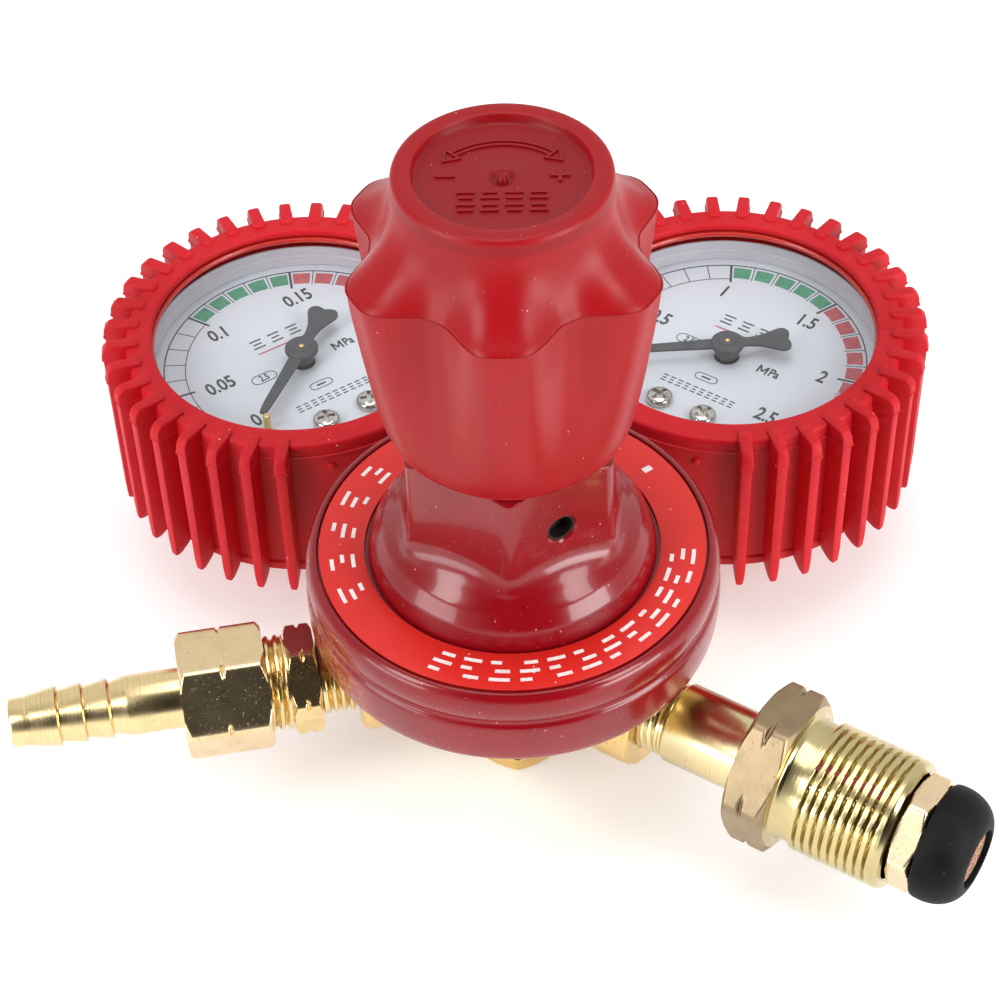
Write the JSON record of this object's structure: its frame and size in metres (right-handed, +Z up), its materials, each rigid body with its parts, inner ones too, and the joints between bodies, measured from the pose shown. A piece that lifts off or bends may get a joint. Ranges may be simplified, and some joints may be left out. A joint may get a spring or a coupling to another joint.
{
  "type": "gas regulator",
  "caption": "Single-stage fuel gas regulator with a hand knob, sprung bonnet, paired booted gauges, threaded inlet nut and a hose barb outlet.",
  "frame": {"origin": "centre of the flat outer face of the back plug, on the knob axis", "axes": "+Z up the knob axis from the back plug to the knob, +Y towards the gauges, inlet at +X and outlet at -X"},
  "size_m": [0.1583, 0.1448, 0.1246],
  "materials": {
    "adjusting_screw": "plated steel",
    "back_plug": "machined brass",
    "back_plug_seal": "black sealing ring",
    "bonnet": "glossy deep crimson paint over brass",
    "bonnet_label": "printed orange-red label ring",
    "diaphragm": "black rubber",
    "diaphragm_nut": "machined brass",
    "diaphragm_plate": "plated steel",
    "high_gauge_bezel": "glossy crimson paint",
    "high_gauge_boot": "red ribbed rubber",
    "high_gauge_bourdon_tube": "phosphor bronze",
    "high_gauge_case": "crimson paint",
    "high_gauge_dial": "matt white with printed scale",
    "high_gauge_dial_screw_left": "nickel-plated",
    "high_gauge_dial_screw_right": "nickel-plated",
    "high_gauge_link": "stamped brass",
    "high_gauge_movement_frame": "stamped brass",
    "high_gauge_pinion": "cut brass",
    "high_gauge_pointer": "matt dark grey paint",
    "high_gauge_sector": "stamped brass",
    "high_gauge_socket": "machined brass",
    "high_gauge_stop_pin": "turned brass",
    "high_gauge_window": "clear flat glass",
    "hose_barb": "bright turned brass",
    "inlet_filter": "sintered bronze",
    "inlet_nipple": "machined brass",
    "inlet_nut": "pale gold plating",
    "inlet_rubber_nose": "black rubber",
    "inlet_stem": "pale gold plating",
    "knob": "satin moulded red plastic",
    "low_gauge_bezel": "glossy crimson paint",
    "low_gauge_boot": "red ribbed rubber",
    "low_gauge_bourdon_tube": "phosphor bronze",
    "low_gauge_case": "crimson paint",
    "low_gauge_dial": "matt white with printed scale",
    "low_gauge_dial_screw_left": "nickel-plated",
    "low_gauge_dial_screw_right": "nickel-plated",
    "low_gauge_link": "stamped brass",
    "low_gauge_movement_frame": "stamped brass",
    "low_gauge_pinion": "cut brass",
    "low_gauge_pointer": "matt dark grey paint",
    "low_gauge_sector": "stamped brass",
    "low_gauge_socket": "machined brass",
    "low_gauge_stop_pin": "turned brass",
    "low_gauge_window": "clear flat glass",
    "main_spring": "spring steel",
    "outlet_fitting": "machined brass with red overspray",
    "outlet_nut": "rough forged brass with red overspray",
    "poppet": "machined brass",
    "poppet_seat": "black rubber",
    "push_pin": "ground steel",
    "regulator_body": "bare machined brass",
    "return_spring": "spring steel",
    "slip_ring": "dark acetal",
    "spring_button": "plated steel",
    "valve_nozzle": "machined brass"
  },
  "bodies": {
    "base": {"back_plug": "back_plug", "back_plug_seal": "back_plug_seal", "bonnet": "bonnet", "bonnet_label": "bonnet_label", "diaphragm": "diaphragm", "high_gauge_bezel": "high_gauge_bezel", "high_gauge_boot": "high_gauge_boot", "high_gauge_bourdon_tube": "high_gauge_bourdon_tube", "high_gauge_case": "high_gauge_case", "high_gauge_dial": "high_gauge_dial", "high_gauge_dial_screw_left": "high_gauge_dial_screw_left", "high_gauge_dial_screw_right": "high_gauge_dial_screw_right", "high_gauge_movement_frame": "high_gauge_movement_frame", "high_gauge_socket": "high_gauge_socket", "high_gauge_stop_pin": "high_gauge_stop_pin", "high_gauge_window": "high_gauge_window", "inlet_filter": "inlet_filter", "inlet_nipple": "inlet_nipple", "inlet_rubber_nose": "inlet_rubber_nose", "inlet_stem": "inlet_stem", "low_gauge_bezel": "low_gauge_bezel", "low_gauge_boot": "low_gauge_boot", "low_gauge_bourdon_tube": "low_gauge_bourdon_tube", "low_gauge_case": "low_gauge_case", "low_gauge_dial": "low_gauge_dial", "low_gauge_dial_screw_left": "low_gauge_dial_screw_left", "low_gauge_dial_screw_right": "low_gauge_dial_screw_right", "low_gauge_movement_frame": "low_gauge_movement_frame", "low_gauge_socket": "low_gauge_socket", "low_gauge_stop_pin": "low_gauge_stop_pin", "low_gauge_window": "low_gauge_window", "main_spring": "main_spring", "outlet_fitting": "outlet_fitting", "regulator_body": "regulator_body", "return_spring": "return_spring", "slip_ring": "slip_ring", "valve_nozzle": "valve_nozzle"},
    "spring_button": {"spring_button": "spring_button"},
    "knob": {"knob": "knob", "adjusting_screw": "adjusting_screw"},
    "diaphragm_stack": {"diaphragm_plate": "diaphragm_plate", "diaphragm_nut": "diaphragm_nut", "push_pin": "push_pin"},
    "poppet": {"poppet": "poppet", "poppet_seat": "poppet_seat"},
    "hose_barb": {"hose_barb": "hose_barb"},
    "outlet_nut": {"outlet_nut": "outlet_nut"},
    "inlet_nut": {"inlet_nut": "inlet_nut"},
    "low_pointer": {"low_gauge_pinion": "low_gauge_pinion", "low_gauge_pointer": "low_gauge_pointer"},
    "low_sector": {"low_gauge_sector": "low_gauge_sector", "low_gauge_link": "low_gauge_link"},
    "high_pointer": {"high_gauge_pinion": "high_gauge_pinion", "high_gauge_pointer": "high_gauge_pointer"},
    "high_sector": {"high_gauge_sector": "high_gauge_sector", "high_gauge_link": "high_gauge_link"}
  },
  "joints": [
    {"name": "knob_turn", "type": "hinge", "parent": "spring_button", "child": "knob", "pos_m": [0, 0, 0.1], "axis": [0, 0, 1], "range_deg": [0, 1800]},
    {"name": "screw_advance", "type": "slide", "parent": "base", "child": "spring_button", "axis": [0, 0, 1], "range_m": [0, 0.00875], "deforming": ["main_spring"]},
    {"name": "diaphragm_travel", "type": "slide", "parent": "base", "child": "diaphragm_stack", "axis": [0, 0, -1], "range_m": [0, 0.001], "stiffness_N_per_m": 2000, "deforming": ["diaphragm"]},
    {"name": "poppet_travel", "type": "slide", "parent": "base", "child": "poppet", "axis": [0, 0, -1], "range_m": [0, 0.001], "deforming": ["return_spring"]},
    {"name": "barb_release", "type": "slide", "parent": "base", "child": "hose_barb", "axis": [-0.9826, -0.1857, 0], "range_m": [0, 0.0075]},
    {"name": "outlet_nut_turn", "type": "hinge", "parent": "hose_barb", "child": "outlet_nut", "pos_m": [0, 0, 0.0237], "axis": [-0.9826, -0.1857, 0], "range_deg": [-1800, 0]},
    {"name": "inlet_nut_spin", "type": "hinge", "parent": "base", "child": "inlet_nut", "pos_m": [0, 0, 0.0237], "axis": [0.848, -0.5299, 0], "continuous": true},
    {"name": "low_pointer_turn", "type": "hinge", "parent": "base", "child": "low_pointer", "pos_m": [-0.03816, 0.05877, 0.03], "axis": [0, 0, -1], "range_deg": [0, 258], "stiffness_Nm_per_rad": 0.00002},
    {"name": "low_sector_turn", "type": "hinge", "parent": "base", "child": "low_sector", "pos_m": [-0.0424, 0.04767, 0.028], "axis": [0, 0, -1], "range_deg": [-43, 0]},
    {"name": "high_pointer_turn", "type": "hinge", "parent": "base", "child": "high_pointer", "pos_m": [0.03816, 0.05877, 0.03], "axis": [0, 0, -1], "range_deg": [0, 258], "stiffness_Nm_per_rad": 0.00002},
    {"name": "high_sector_turn", "type": "hinge", "parent": "base", "child": "high_sector", "pos_m": [0.0263, 0.05812, 0.028], "axis": [0, 0, -1], "range_deg": [-43, 0]}
  ],
  "couplings": [
    {"joint": "knob_turn", "follows": "screw_advance", "rad_per_m": 3590.4},
    {"joint": "poppet_travel", "follows": "diaphragm_travel", "ratio": 1},
    {"joint": "outlet_nut_turn", "follows": "barb_release", "rad_per_m": -4188.8},
    {"joint": "low_sector_turn", "follows": "low_pointer_turn", "ratio": -0.1666},
    {"joint": "high_sector_turn", "follows": "high_pointer_turn", "ratio": -0.1666}
  ]
}
